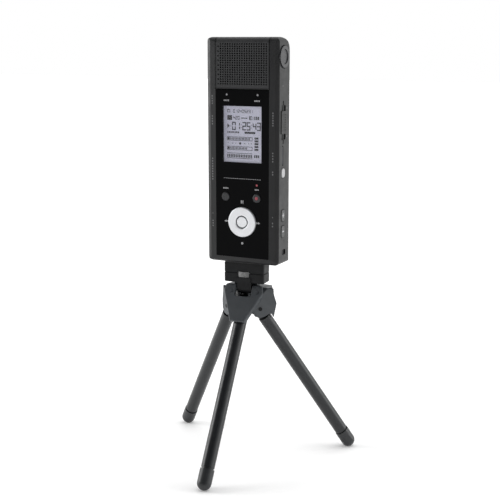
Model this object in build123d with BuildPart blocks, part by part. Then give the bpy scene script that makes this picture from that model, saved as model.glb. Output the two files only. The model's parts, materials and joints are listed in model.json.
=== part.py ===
from build123d import *
import os
from math import acos, atan2, cos, degrees, radians, sin, sqrt, tan

os.makedirs("parts", exist_ok=True)

# A handheld field recorder with a tilting microphone head, screwed on a folding table tripod.
# Millimetres, +Z up, front towards -Y.  The origin is on the table, under the tripod's axis.

# ---- driving dimensions -------------------------------------------------------------------
BODY_W, BODY_H, BODY_D = 48.0, 137.0, 21.5      # recorder case
REC_X, REC_Y, REC_Z = 1.5, -9.5, 125.815         # case centre line, panel plane, case bottom
WALL = 1.6                                      # case wall
SEAM = 1.6                                      # depth of the bezel-to-housing joint
SIDE_FLAT = 14.5                                # depth where the side starts to round
EDGE_R = 7.0                                    # rounding of the two long rear edges
CORNER_R = 3.0                                  # corners of the front outline
TOP_FRONT_R, TOP_REAR_R = 3.5, 10.5             # rounding of the top, front and rear
FOOT_R = 7.0                                    # rounding of the bottom's rear edge
HEAD_REAR = 16.0                                # depth of the microphone head
PANEL_HALF, PANEL_Z0, PANEL_Z1 = 17.9, 3.7, 106.0
PANEL_T = 1.2
AXIS_Y, AXIS_Z = 8.0, 125.5                     # tilt axis of the microphone head
HEAD_R, WELL_R = 20.7, 21.1                     # underside of the head, floor of its well
HEAD_HALF, ARM_IN = 17.85, 18.2                 # half width of the head, inner face of the arms
AXLE_R = 2.5
DIAL_R = 6.6
LCD_Z0, LCD_Z1, LCD_HALF = 62.3, 96.2, 12.9
RING_Z, RING_R, RING_BORE, CENTRE_R = 25.8, 9.2, 4.0, 3.4
KEY_Z, MENU_X, RECORD_X, KEY_R = 41.0, -11.2, 9.8, 2.6
PEAK_Z, PEAK_X, RECORD_LED_Z, LED_R = 103.0, 10.3, 48.9, 0.65
HOLE_PITCH, HOLE_R = 1.6, 0.5                   # perforation of the grille
BOARD_Y, BOARD_T = 3.5, 0.8
CELL_R, CELL_L, CELL_Z, CELL_Y = 5.25, 44.5, 13.6, 14.3
CELL_X = (-0.6, 10.3)
DOOR_X, DOOR_W, DOOR_Z0, DOOR_Z1, DOOR_T = 4.85, 24.6, 12.2, 62.2, 1.4
HINGE_R = 0.35                                  # pins of the door's hinge
JACK_Z, JACK_Y, JACK_BORE = (99.0, 87.4), 8.6, 1.8
USB_Z, DC_Z = 57.5, 25.5
SIDE_Y = 7.0                                    # centre line of the controls on the right side
SLIDER_Z, SLIDER_L, SLIDER_TRAVEL = 86.8, 13.6, 3.0
CARD_Z, MARK_Z, VOLUME_Z = 66.9, 56.5, (30.6, 20.7)
EYELET_Z, EYELET_Y = 7.7, 8.7
BUSH_R, BUSH_BORE, BUSH_H = 5.0, 3.25, 9.5
GAP = 0.3                                       # play between moving pieces

TURN = 3.8                                      # how far the tripod is turned about its axis
PLATE_W, PLATE_D = 26.7, 11.0
PAD_T, TOP_Z, GROOVE_Z, BASE_Z = 1.2, -7.0, -7.5, -13.3
WHEEL_R, WHEEL_Z0, WHEEL_Z1 = 6.3, -9.6, -6.3
TILT_Z, TILT_R, KNUCKLE_R = -17.0, 3.2, 4.6     # tilt pin, ears of the hub, knuckle of the platform
FRAME_X, FRAME_Y = 2.2, 14.4                     # tripod's axis, seen from the middle of the footprint
SLOT_D = 11.4                                    # front to back, room for the knuckle as it tilts
ROOF_Z0, ROOF_Z1 = -18.2, -16.0
PIVOT_Z = -29.0                                 # height of the three leg pins
OPEN = 33.2                                     # splay of an open leg from the vertical
LEG_L = 111.7                                   # pin to the centre of the foot's tip
TUBE_R, FOOT_CAP_R, TANG_W, CHEEK_T = 4.1, 4.4, 5.0, 1.3
TUBE_START = 6.6
PIN_R = 1.2
LEGS = {"front": (0.0, -5.6, -90.0), "right": (9.0, -2.6, 36.6), "left": (-9.0, -2.6, 143.4)}


# ---- planes -------------------------------------------------------------------------------
def face(depth):
    """Plane parallel to the panel, depth behind it: local x is X, local y is Z."""
    return Plane(origin=(REC_X, REC_Y + depth, REC_Z), x_dir=(1, 0, 0), z_dir=(0, -1, 0))


def level(height):
    """Horizontal plane of the recorder: local x is X, local y is the depth."""
    return Plane(origin=(REC_X, REC_Y, REC_Z + height), x_dir=(1, 0, 0), z_dir=(0, 0, 1))


def side(across):
    """Plane parallel to the side: local x is the depth, local y is Z."""
    return Plane(origin=(REC_X + across, REC_Y, REC_Z), x_dir=(0, 1, 0), z_dir=(1, 0, 0))


def tripod_point(x, y):
    a = radians(TURN)
    return x * cos(a) - y * sin(a), x * sin(a) + y * cos(a)


def tripod_level(height, x=0.0, y=0.0, bearing=0.0):
    """Horizontal plane of the tripod at a point, turned to a bearing in the tripod's frame."""
    px, py = tripod_point(x, y)
    a = radians(TURN + bearing)
    return Plane(origin=(px, py, REC_Z + height), x_dir=(cos(a), sin(a), 0), z_dir=(0, 0, 1))


def upright(x, y, bearing, shift=0.0):
    """Vertical plane along a bearing: local x runs outwards, local y is Z from the case bottom."""
    px, py = tripod_point(x, y)
    a = radians(TURN + bearing)
    px, py = px + shift * sin(a), py - shift * cos(a)
    return Plane(origin=(px, py, REC_Z), x_dir=(cos(a), sin(a), 0), z_dir=(sin(a), -cos(a), 0))


def leg_plane(name):
    """Plane across an open leg at its pin: local z runs down the leg, local x along the pin."""
    x, y, bearing = LEGS[name]
    px, py = tripod_point(x, y)
    a, t = radians(TURN + bearing), radians(OPEN)
    return Plane(origin=(px, py, REC_Z + PIVOT_Z), x_dir=(-sin(a), cos(a), 0),
                 z_dir=(sin(t) * cos(a), sin(t) * sin(a), -cos(t)))


def save(builder, name):
    """Move a finished piece from the tripod's axis to the middle of the footprint and write it."""
    piece = builder.part.moved(Location((FRAME_X, FRAME_Y, 0)))
    piece.label = name
    export_step(piece, f"parts/{name}.step")
    print(f"{name:24s} {builder.part.volume:10.1f} mm3  {len(builder.part.solids())} solids")


# ---- case ---------------------------------------------------------------------------------
def case_envelope(front, rear):
    """Outer shape of the case between two depths: outline, plan and side profile in one."""
    with BuildPart() as body:
        with BuildSketch(face(front)):
            with Locations((0, BODY_H / 2)):
                RectangleRounded(BODY_W, BODY_H, CORNER_R)
        extrude(amount=front - rear)
        with BuildSketch(level(0)):
            with BuildLine():
                half = BODY_W / 2
                Polyline((-PANEL_HALF - 0.1, 0), (PANEL_HALF + 0.1, 0), (21.7, 0.4), (23.5, 1.15),
                         (half, SEAM), (half, SIDE_FLAT))
                RadiusArc((half, SIDE_FLAT), (half - EDGE_R, BODY_D), -EDGE_R)
                Line((half - EDGE_R, BODY_D), (-half + EDGE_R, BODY_D))
                RadiusArc((-half + EDGE_R, BODY_D), (-half, SIDE_FLAT), -EDGE_R)
                Polyline((-half, SIDE_FLAT), (-half, SEAM), (-23.5, 1.15), (-21.7, 0.4),
                         (-PANEL_HALF - 0.1, 0))
            make_face()
        extrude(amount=BODY_H, mode=Mode.INTERSECT)
        with BuildSketch(side(-BODY_W / 2)):
            with BuildLine():
                Polyline((2.2, 0), (1.0, 1.0), (0, PANEL_Z0 - 0.1), (0, BODY_H - TOP_FRONT_R))
                RadiusArc((0, BODY_H - TOP_FRONT_R), (TOP_FRONT_R, BODY_H), TOP_FRONT_R)
                Line((TOP_FRONT_R, BODY_H), (HEAD_REAR + 1 - TOP_REAR_R, BODY_H))
                RadiusArc((HEAD_REAR + 1 - TOP_REAR_R, BODY_H), (HEAD_REAR + 1, BODY_H - TOP_REAR_R),
                          TOP_REAR_R)
                Polyline((HEAD_REAR + 1, BODY_H - TOP_REAR_R), (HEAD_REAR + 1, 119.0), (BODY_D, 101.0),
                         (BODY_D, FOOT_R))
                RadiusArc((BODY_D, FOOT_R), (BODY_D - FOOT_R, 0), FOOT_R)
                Line((BODY_D - FOOT_R, 0), (2.2, 0))
            make_face()
        extrude(amount=BODY_W, mode=Mode.INTERSECT)
    return body.part


def head_well(radius, half):
    """Space that the microphone head needs between the arms."""
    with BuildPart() as well:
        with BuildSketch(side(-half)):
            with Locations((AXIS_Y, AXIS_Z)):
                Circle(radius)
        extrude(amount=2 * half)
    return well.part


def cavity():
    """Inside of the case, closed at the top under the head's well."""
    with BuildPart() as space:
        with BuildSketch(level(WALL)):
            inner = BODY_W / 2 - WALL
            with BuildLine():
                Polyline((-inner, SEAM - 0.1), (inner, SEAM - 0.1), (inner, SIDE_FLAT - 0.5))
                RadiusArc((inner, SIDE_FLAT - 0.5), (inner - 6, BODY_D - 1.5), -6.6)
                Line((inner - 6, BODY_D - 1.5), (-inner + 6, BODY_D - 1.5))
                RadiusArc((-inner + 6, BODY_D - 1.5), (-inner, SIDE_FLAT - 0.5), -6.6)
                Line((-inner, SIDE_FLAT - 0.5), (-inner, SEAM - 0.1))
            make_face()
        extrude(amount=PANEL_Z1 - WALL - 0.5)
        with BuildSketch(side(-BODY_W / 2)):
            with BuildLine():
                Polyline((0, WALL), (BODY_D - FOOT_R, WALL))
                RadiusArc((BODY_D - FOOT_R, WALL), (BODY_D - 1.5, FOOT_R), -(FOOT_R - 1.55))
                Polyline((BODY_D - 1.5, FOOT_R), (BODY_D - 1.5, 99.0), (BODY_D - 2.4, 104.0),
                         (0, 104.0), (0, WALL))
            make_face()
        extrude(amount=BODY_W, mode=Mode.INTERSECT)
        add(head_well(WELL_R + WALL, BODY_W / 2), mode=Mode.SUBTRACT)
    return space.part


def side_cut(y, z, width, height, start, deep, radius=0.0):
    """Rounded pocket or slot cut inwards from a plane across the case."""
    with BuildPart() as cutter:
        with BuildSketch(side(start)):
            with Locations((y, z)):
                RectangleRounded(width, height, radius)
        extrude(amount=-deep if start > 0 else deep)
    return cutter.part


def side_bore(y, z, radius, start, deep):
    """Round bore cut inwards from a plane across the case."""
    with BuildPart() as cutter:
        with BuildSketch(side(start)):
            with Locations((y, z)):
                Circle(radius)
        extrude(amount=-deep if start > 0 else deep)
    return cutter.part


with BuildPart() as front_bezel:
    add(case_envelope(0, SEAM))
    with BuildSketch(face(-1)):
        with Locations((0, (PANEL_Z0 + PANEL_Z1) / 2)):
            RectangleRounded(2 * PANEL_HALF, PANEL_Z1 - PANEL_Z0, 0.6)
    extrude(amount=-1 - PANEL_T, mode=Mode.SUBTRACT)
    with BuildSketch(face(-1)):
        with Locations((0, 53.6)):
            Rectangle(31.0, 91.0)
    extrude(amount=-4, mode=Mode.SUBTRACT)
    for end in (-1, 1):
        with BuildSketch(face(-1)):
            with Locations((end * PEAK_X, PEAK_Z)):
                Circle(LED_R)
        extrude(amount=-4, mode=Mode.SUBTRACT)
    with BuildSketch(face(0)):
        with Locations((0, 140)):
            Rectangle(2 * ARM_IN, 2 * (140 - PANEL_Z1))
    extrude(amount=-4, mode=Mode.SUBTRACT)
    add(head_well(WELL_R, ARM_IN), mode=Mode.SUBTRACT)
    add(side_bore(AXIS_Y, AXIS_Z, DIAL_R + GAP, BODY_W / 2 + 0.5, 0.5 + 1.4), mode=Mode.SUBTRACT)
save(front_bezel, "front_bezel")


def panel_holes():
    with Locations((0, RING_Z)):
        Circle(RING_R + GAP)
    with Locations((MENU_X, KEY_Z), (RECORD_X, KEY_Z)):
        Circle(KEY_R + GAP)
    with Locations((-PEAK_X, PEAK_Z), (PEAK_X, PEAK_Z), (RECORD_X, RECORD_LED_Z)):
        Circle(LED_R)


with BuildPart() as front_panel:
    with BuildSketch(face(0)) as outline:
        with Locations((0, (PANEL_Z0 + PANEL_Z1) / 2)):
            RectangleRounded(2 * PANEL_HALF - 0.1, PANEL_Z1 - PANEL_Z0 - 0.1, 0.55)
    extrude(amount=-PANEL_T)
    with BuildSketch(face(0)):
        with Locations((0, (LCD_Z0 + LCD_Z1) / 2)):
            Rectangle(2 * LCD_HALF, LCD_Z1 - LCD_Z0)
        panel_holes()
    extrude(amount=-PANEL_T, mode=Mode.SUBTRACT)
    add(head_well(WELL_R, ARM_IN), mode=Mode.SUBTRACT)
save(front_panel, "front_panel")

with BuildPart() as display_lens:
    with BuildSketch(face(0.02)):
        with Locations((0, (LCD_Z0 + LCD_Z1) / 2)):
            Rectangle(2 * LCD_HALF - 0.04, LCD_Z1 - LCD_Z0 - 0.04)
    extrude(amount=-PANEL_T + 0.02)
save(display_lens, "display_lens")

with BuildPart() as display_module:
    with BuildSketch(face(PANEL_T + 0.1)):
        with Locations((0, (LCD_Z0 + LCD_Z1) / 2)):
            RectangleRounded(28.6, 37.4, 0.6)
    extrude(amount=-2.0)
save(display_module, "display_module")

with BuildPart() as peak_lights:
    with BuildSketch(face(0)):
        with Locations((-PEAK_X, PEAK_Z), (PEAK_X, PEAK_Z)):
            Circle(LED_R - 0.02)
    extrude(amount=-1.6)
save(peak_lights, "peak_lights")

with BuildPart() as record_light:
    with BuildSketch(face(0)):
        with Locations((RECORD_X, RECORD_LED_Z)):
            Circle(LED_R - 0.02)
    extrude(amount=-BOARD_Y)
save(record_light, "record_light")

with BuildPart() as main_board:
    with BuildSketch(face(BOARD_Y)):
        with Locations((0, 56.0)):
            RectangleRounded(42.0, 90.0, 1.5)
    extrude(amount=-BOARD_T)
save(main_board, "main_board")

with BuildPart() as board_components:
    rear_face = face(BOARD_Y + BOARD_T)
    for x, z, w, h, t in ((4, 92, 12, 12, 1.2), (-3, 78, 9, 9, 1.0), (10, 82, 7, 5, 1.4),
                          (-6, 97, 5, 4, 1.6), (14, 100, 4, 3, 1.2)):
        with BuildSketch(rear_face):
            with Locations((x, z)):
                Rectangle(w, h)
        extrude(amount=-t)
    front_face = face(BOARD_Y)
    with BuildSketch(front_face):
        with Locations((MENU_X, KEY_Z), (RECORD_X, KEY_Z), (0, RING_Z)):
            Circle(1.6)
        with Locations((0, RING_Z)):
            with PolarLocations(6.4, 4):
                Circle(1.2)
    extrude(amount=0.45)
save(board_components, "board_components")


def door_pins(radius, reach):
    """Round bar on the hinge axis of the battery door, reaching to both sides of its middle."""
    with BuildPart() as bar:
        with BuildSketch(side(DOOR_X - reach)):
            with Locations((BODY_D - DOOR_T / 2, DOOR_Z0 + DOOR_T / 2)):
                Circle(radius)
        extrude(amount=2 * reach)
    return bar.part


with BuildPart() as main_housing:
    add(case_envelope(SEAM, BODY_D))
    add(head_well(WELL_R, ARM_IN), mode=Mode.SUBTRACT)
    add(cavity(), mode=Mode.SUBTRACT)
    # flat boss round the tripod bush, in the curved underside
    with BuildSketch(Plane(origin=(0, 0, REC_Z))):
        Circle(BUSH_R + 0.9)
    extrude(amount=BUSH_H + 0.8)
    # door opening and the bores of its hinge pins
    with BuildSketch(face(BODY_D + 1)):
        with Locations((DOOR_X, (DOOR_Z0 + DOOR_Z1) / 2)):
            Rectangle(DOOR_W + 2 * GAP, DOOR_Z1 - DOOR_Z0 + 2 * GAP)
    extrude(amount=4, mode=Mode.SUBTRACT)
    add(door_pins(HINGE_R + 0.05, DOOR_W / 2 + 1.25), mode=Mode.SUBTRACT)
    right, left = BODY_W / 2 + 0.5, -BODY_W / 2 - 0.5
    # microphone tilt axle, dial recess and the plain bearing
    add(side_bore(AXIS_Y, AXIS_Z, AXLE_R + 0.08, right, 7), mode=Mode.SUBTRACT)
    add(side_bore(AXIS_Y, AXIS_Z, DIAL_R + GAP, right, 0.5 + 1.4), mode=Mode.SUBTRACT)
    add(side_bore(AXIS_Y, AXIS_Z, AXLE_R + 0.08, left, 7), mode=Mode.SUBTRACT)
    # power slider: shallow recess, long guide groove, slot for its stem
    add(side_cut(SIDE_Y, SLIDER_Z, 6.8, SLIDER_L + 2 * SLIDER_TRAVEL + 1.0, right, 1.2, 1.0),
        mode=Mode.SUBTRACT)
    add(side_cut(SIDE_Y, SLIDER_Z, 1.1, 26.0, right, 1.4, 0.5), mode=Mode.SUBTRACT)
    add(side_cut(SIDE_Y, SLIDER_Z, 2.6, 10.6, right, 3, 0.5), mode=Mode.SUBTRACT)
    # card slot, mark button, volume buttons, strap eyelet
    add(side_cut(SIDE_Y - 0.6, CARD_Z, 1.6, 12.0, right, 3, 0.3), mode=Mode.SUBTRACT)
    add(side_cut(SIDE_Y, MARK_Z, 4.6 + 2 * GAP, 5.6 + 2 * GAP, right, 3, 2.55), mode=Mode.SUBTRACT)
    for z in VOLUME_Z:
        add(side_cut(SIDE_Y, z, 4.4 + 2 * GAP, 7.0 + 2 * GAP, right, 3, 1.8), mode=Mode.SUBTRACT)
    add(side_cut(EYELET_Y, EYELET_Z, 5.0, 3.4, right, 3.1, 1.2), mode=Mode.SUBTRACT)
    # jacks, data port and power inlet on the left side
    for z in JACK_Z:
        add(side_bore(JACK_Y, z, 3.3, left, 3), mode=Mode.SUBTRACT)
    add(side_cut(JACK_Y, USB_Z, 4.6, 8.4, left, 3, 0.8), mode=Mode.SUBTRACT)
    add(side_bore(JACK_Y, DC_Z, 3.1, left, 3), mode=Mode.SUBTRACT)
    # tripod bush
    with BuildSketch(Plane(origin=(0, 0, REC_Z))):
        Circle(BUSH_R)
    extrude(amount=BUSH_H + 1.5, mode=Mode.SUBTRACT)
    # screw seats in the back
    with BuildSketch(face(BODY_D + 0.1)):
        with Locations((-16.5, 18), (-16.5, 92), (16.5, 92)):
            Circle(1.9)
    extrude(amount=1.0, mode=Mode.SUBTRACT)
save(main_housing, "main_housing")

# ---- power -------------------------------------------------------------------------------
with BuildPart() as battery_door:
    with BuildSketch(face(BODY_D)):
        with Locations((DOOR_X, (DOOR_Z0 + DOOR_Z1) / 2)):
            Rectangle(DOOR_W, DOOR_Z1 - DOOR_Z0)
    extrude(amount=DOOR_T)
    lower_edges = battery_door.edges().filter_by(Axis.X).group_by(Axis.Z)[0]
    fillet(lower_edges, DOOR_T / 2 - 0.02)
    # finger grip of five ribs near the top edge
    with BuildSketch(face(BODY_D)):
        with Locations((DOOR_X, DOOR_Z1 - 9)):
            with GridLocations(0, 2.0, 1, 5):
                RectangleRounded(14.0, 0.9, 0.4)
    extrude(amount=0.4, mode=Mode.SUBTRACT)
    add(case_envelope(SEAM, BODY_D), mode=Mode.INTERSECT)
    add(door_pins(HINGE_R, DOOR_W / 2 + 1.1))
save(battery_door, "battery_door")


def cell(x, upwards):
    """AAA cell with its raised positive cap."""
    with BuildPart() as body:
        with BuildSketch(level(CELL_Z)):
            with Locations((x, CELL_Y)):
                Circle(CELL_R)
        extrude(amount=CELL_L - 1.0)
        chamfer(body.edges().filter_by(GeomType.CIRCLE), 0.4)
        cap_z = CELL_Z + CELL_L - 1.0 if upwards else CELL_Z
        with BuildSketch(level(cap_z)):
            with Locations((x, CELL_Y)):
                Circle(1.9)
        extrude(amount=1.0 if upwards else -1.0)
    return body


battery_left = cell(CELL_X[0], True)
save(battery_left, "battery_left")
battery_right = cell(CELL_X[1], False)
save(battery_right, "battery_right")


def contact_strip(height, thickness):
    with BuildPart() as strip:
        with BuildSketch(level(height)):
            with Locations(*[(x, CELL_Y) for x in CELL_X]):
                RectangleRounded(8.0, 8.0, 1.0)
        extrude(amount=thickness)
    return strip.part


def contact_spring(x, start, tall):
    """Coil spring that presses on the flat end of a cell."""
    with BuildPart() as coil:
        with BuildLine() as wire:
            Helix(pitch=tall / 2.5, height=tall, radius=2.6, center=(REC_X + x, REC_Y + CELL_Y, REC_Z + start))
        with BuildSketch(Plane(origin=wire.line @ 0, z_dir=wire.line % 0)):
            Circle(0.25)
        sweep()
    return coil.part


with BuildPart() as battery_contacts:
    add(contact_strip(CELL_Z + CELL_L + 0.9, 0.3))
    add(contact_strip(CELL_Z - 1.35, 0.3))
save(battery_contacts, "battery_contacts")

with BuildPart() as battery_springs:
    add(contact_spring(CELL_X[0], CELL_Z - 0.75, 0.45))
    add(contact_spring(CELL_X[1], CELL_Z + CELL_L - 0.7, 1.3))
save(battery_springs, "battery_springs")

# ---- microphone head ---------------------------------------------------------------------
def head_profile(inset, radius):
    """Side profile of the head: flat front and back, rounded top, arc underneath."""
    reach = HEAD_REAR / 2 - inset
    foot = AXIS_Z - sqrt(radius ** 2 - reach ** 2)
    top = BODY_H - inset
    with BuildSketch() as profile:
        with BuildLine():
            Line((inset, foot), (inset, BODY_H - TOP_FRONT_R))
            RadiusArc((inset, BODY_H - TOP_FRONT_R), (TOP_FRONT_R, top), TOP_FRONT_R - inset)
            Line((TOP_FRONT_R, top), (HEAD_REAR - TOP_REAR_R, top))
            RadiusArc((HEAD_REAR - TOP_REAR_R, top), (HEAD_REAR - inset, BODY_H - TOP_REAR_R),
                      TOP_REAR_R - inset)
            Line((HEAD_REAR - inset, BODY_H - TOP_REAR_R), (HEAD_REAR - inset, foot))
            RadiusArc((HEAD_REAR - inset, foot), (inset, foot), radius)
        make_face()
    return profile.sketch


def head_block(inset, radius, half):
    with BuildPart() as block:
        with BuildSketch(side(-half)):
            add(head_profile(inset, radius))
        extrude(amount=2 * half)
    return block.part


GRILLE_T, GRILLE_HALF, GRILLE_Z, GRILLE_TOP_Y = 0.8, 17.2, 107.2, 7.4


def grille_zone():
    """Region of the grille: the front face, the rounded top edge and part of the top."""
    with BuildPart() as zone:
        with BuildSketch(side(-GRILLE_HALF)):
            with Locations((0, (GRILLE_Z + BODY_H) / 2 + 1)):
                Rectangle(2 * GRILLE_T, BODY_H - GRILLE_Z + 2)
            with Locations((GRILLE_TOP_Y / 2 - 1, BODY_H)):
                Rectangle(GRILLE_TOP_Y + 2, 2 * GRILLE_T)
            with Locations((TOP_FRONT_R / 2, BODY_H - TOP_FRONT_R / 2)):
                Rectangle(TOP_FRONT_R, TOP_FRONT_R)
        extrude(amount=2 * GRILLE_HALF)
    return zone.part


def front_holes():
    """Staggered rows of round holes through the front of the grille."""
    row = HOLE_PITCH * sqrt(3) / 2
    with BuildPart() as drill:
        with BuildSketch(face(-1)):
            with Locations((0, 120.4)):
                with GridLocations(HOLE_PITCH, 2 * row, 21, 9):
                    Circle(HOLE_R)
            with Locations((HOLE_PITCH / 2, 120.4 + row)):
                with GridLocations(HOLE_PITCH, 2 * row, 20, 9):
                    Circle(HOLE_R)
        extrude(amount=-1 - 2 * GRILLE_T)
    return drill.part


def top_holes():
    """Two rows of the same holes through the top of the grille."""
    with BuildPart() as drill:
        with BuildSketch(level(BODY_H + 1)):
            with Locations((0, 4.2)):
                with GridLocations(HOLE_PITCH, 0, 21, 1):
                    Circle(HOLE_R)
            with Locations((HOLE_PITCH / 2, 4.2 + HOLE_PITCH * sqrt(3) / 2)):
                with GridLocations(HOLE_PITCH, 0, 20, 1):
                    Circle(HOLE_R)
        extrude(amount=-1 - 2 * GRILLE_T)
    return drill.part


with BuildPart() as mic_grille:
    add(head_block(0, HEAD_R, HEAD_HALF))
    add(head_block(GRILLE_T, HEAD_R - GRILLE_T, HEAD_HALF), mode=Mode.SUBTRACT)
    add(grille_zone(), mode=Mode.INTERSECT)
    add(front_holes(), mode=Mode.SUBTRACT)
    add(top_holes(), mode=Mode.SUBTRACT)
save(mic_grille, "mic_grille")

with BuildPart() as mic_head_shell:
    add(head_block(0, HEAD_R, HEAD_HALF))
    add(grille_zone(), mode=Mode.SUBTRACT)
    add(head_block(1.6, HEAD_R - 1.6, HEAD_HALF - 1.6), mode=Mode.SUBTRACT)
    with BuildSketch(face(-1)):
        with Locations((0, (GRILLE_Z + 1.2 + BODY_H) / 2)):
            Rectangle(2 * GRILLE_HALF - 3, BODY_H - GRILLE_Z - 3.6)
    extrude(amount=-4, mode=Mode.SUBTRACT)
    with BuildSketch(side(-BODY_W / 2)):
        with Locations((AXIS_Y, AXIS_Z)):
            Circle(AXLE_R)
    extrude(amount=BODY_W, mode=Mode.SUBTRACT)
save(mic_head_shell, "mic_head_shell")

with BuildPart() as tilt_dial:
    with BuildSketch(side(BODY_W / 2 - 1.4 + 0.15)):
        with Locations((AXIS_Y, AXIS_Z)):
            Circle(DIAL_R)
            with PolarLocations(DIAL_R + 0.12, 30):
                Circle(0.42, mode=Mode.SUBTRACT)
    extrude(amount=1.85)
    with BuildSketch(side(BODY_W / 2 + 0.6)):
        with Locations((AXIS_Y, AXIS_Z)):
            Circle(4.4)
    extrude(amount=-0.5, mode=Mode.SUBTRACT)
save(tilt_dial, "tilt_dial")

with BuildPart() as head_axles:
    with BuildSketch(side(HEAD_HALF - 2.6)):
        with Locations((AXIS_Y, AXIS_Z)):
            Circle(AXLE_R)
    extrude(amount=BODY_W / 2 - 1.25 - HEAD_HALF + 2.6)
    with BuildSketch(side(-BODY_W / 2)):
        with Locations((AXIS_Y, AXIS_Z)):
            Circle(AXLE_R)
    extrude(amount=BODY_W / 2 - HEAD_HALF + 2.6)
save(head_axles, "head_axles")

CAPSULE_Z, CAPSULE_X, CAPSULE_R = 116.5, 9.0, 4.8
with BuildPart() as capsule_mount:
    with BuildSketch(face(6.0)):
        with Locations((0, CAPSULE_Z)):
            RectangleRounded(2 * (HEAD_HALF - 1.6), 12.0, 1.0)
        with Locations((-CAPSULE_X, CAPSULE_Z), (CAPSULE_X, CAPSULE_Z)):
            Circle(CAPSULE_R, mode=Mode.SUBTRACT)
    extrude(amount=-2.4)
save(capsule_mount, "capsule_mount")

for name, x in (("mic_capsule_left", -CAPSULE_X), ("mic_capsule_right", CAPSULE_X)):
    with BuildPart() as mic_capsule:
        with BuildSketch(face(3.4)):
            with Locations((x, CAPSULE_Z)):
                Circle(CAPSULE_R)
        extrude(amount=-6.0)
        with BuildSketch(face(3.4)):
            with Locations((x, CAPSULE_Z)):
                Circle(3.6)
        extrude(amount=-0.5, mode=Mode.SUBTRACT)
    save(mic_capsule, name)

# ---- controls -----------------------------------------------------------------------------
def round_key(x, z, radius, proud, deep, flange):
    """Round button: a cap with an eased edge on a wider flange behind the panel."""
    with BuildPart() as key:
        with BuildSketch(face(-proud)):
            with Locations((x, z)):
                Circle(radius)
        extrude(amount=-proud - deep)
        fillet(key.edges().filter_by(GeomType.CIRCLE).sort_by(Axis.Y)[0], 0.35)
        with BuildSketch(face(PANEL_T + GAP)):
            with Locations((x, z)):
                Circle(flange)
        extrude(amount=-0.5)
    return key


menu_button = round_key(MENU_X, KEY_Z, KEY_R, 0.5, 2.4, KEY_R + 0.7)
save(menu_button, "menu_button")
record_button = round_key(RECORD_X, KEY_Z, KEY_R, 0.5, 2.4, KEY_R + 0.7)
save(record_button, "record_button")

with BuildPart() as ring_pad:
    with BuildSketch(face(-0.9)):
        with Locations((0, RING_Z)):
            Circle(RING_R)
            Circle(RING_BORE, mode=Mode.SUBTRACT)
    extrude(amount=-0.9 - 2.3)
    rims = ring_pad.edges().filter_by(GeomType.CIRCLE).group_by(Axis.Y)[0]
    fillet(rims, 0.55)
save(ring_pad, "ring_pad")

with BuildPart() as centre_button:
    with BuildSketch(face(-0.6)):
        with Locations((0, RING_Z)):
            Circle(CENTRE_R)
    extrude(amount=-0.6 - 2.3)
    fillet(centre_button.edges().filter_by(GeomType.CIRCLE).sort_by(Axis.Y)[0], 0.4)
save(centre_button, "centre_button")

with BuildPart() as power_slider:
    with BuildSketch(side(BODY_W / 2 - 0.55)):
        with Locations((SIDE_Y, SLIDER_Z)):
            RectangleRounded(6.0, SLIDER_L, 0.9)
    extrude(amount=0.95)
    with BuildSketch(side(BODY_W / 2 + 0.4)):
        with Locations((SIDE_Y, SLIDER_Z)):
            with GridLocations(0, 1.5, 1, 7):
                Rectangle(5.0, 0.6)
    extrude(amount=-0.3, mode=Mode.SUBTRACT)
    with BuildSketch(side(BODY_W / 2 - 0.55)):
        with Locations((SIDE_Y, SLIDER_Z)):
            Rectangle(2.0, 4.0)
    extrude(amount=-2.2)
save(power_slider, "power_slider")


def side_key(z, width, height, radius, proud):
    """Button in the right side of the case with a flange inside the wall."""
    with BuildPart() as key:
        with BuildSketch(side(BODY_W / 2 + proud)):
            with Locations((SIDE_Y, z)):
                RectangleRounded(width, height, radius)
        extrude(amount=-proud - 2.3)
        fillet(key.faces().sort_by(Axis.X)[-1].edges(), 0.2)
        with BuildSketch(side(BODY_W / 2 - WALL - 0.25)):
            with Locations((SIDE_Y, z)):
                RectangleRounded(width + 1.4, height + 1.4, radius + 0.5)
        extrude(amount=-0.5)
    return key


mark_button = side_key(MARK_Z, 4.6, 5.6, 2.2, 0.35)
save(mark_button, "mark_button")
volume_up_button = side_key(VOLUME_Z[0], 4.4, 7.0, 1.5, 0.35)
save(volume_up_button, "volume_up_button")
volume_down_button = side_key(VOLUME_Z[1], 4.4, 7.0, 1.5, 0.35)
save(volume_down_button, "volume_down_button")

# ---- sockets ------------------------------------------------------------------------------
def jack(z, bore):
    """3.5 mm jack: a metal bush at the wall and a square body behind it."""
    with BuildPart() as socket:
        with BuildSketch(side(-BODY_W / 2)):
            with Locations((JACK_Y, z)):
                Circle(3.25)
        extrude(amount=WALL)
        with BuildSketch(side(-BODY_W / 2 + WALL)):
            with Locations((JACK_Y, z)):
                RectangleRounded(7.0, 7.4, 0.4)
        extrude(amount=11.5)
        with BuildSketch(side(-BODY_W / 2 - 1)):
            with Locations((JACK_Y, z)):
                Circle(bore)
        extrude(amount=13.0, mode=Mode.SUBTRACT)
    return socket


headphone_jack = jack(JACK_Z[0], JACK_BORE)
save(headphone_jack, "headphone_jack")
line_in_jack = jack(JACK_Z[1], JACK_BORE)
save(line_in_jack, "line_in_jack")

with BuildPart() as usb_port:
    with BuildSketch(side(-BODY_W / 2 + 0.3)):
        with Locations((JACK_Y, USB_Z)):
            RectangleRounded(4.4, 8.2, 0.7)
            RectangleRounded(3.2, 7.0, 0.5, mode=Mode.SUBTRACT)
    extrude(amount=9.0)
    with BuildSketch(side(-BODY_W / 2 + 8.3)):
        with Locations((JACK_Y, USB_Z)):
            Rectangle(3.6, 7.4)
    extrude(amount=1.0)
    with BuildSketch(side(-BODY_W / 2 + 2.0)):
        with Locations((JACK_Y + 0.5, USB_Z)):
            Rectangle(0.8, 5.4)
    extrude(amount=6.5)
save(usb_port, "usb_port")

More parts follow.
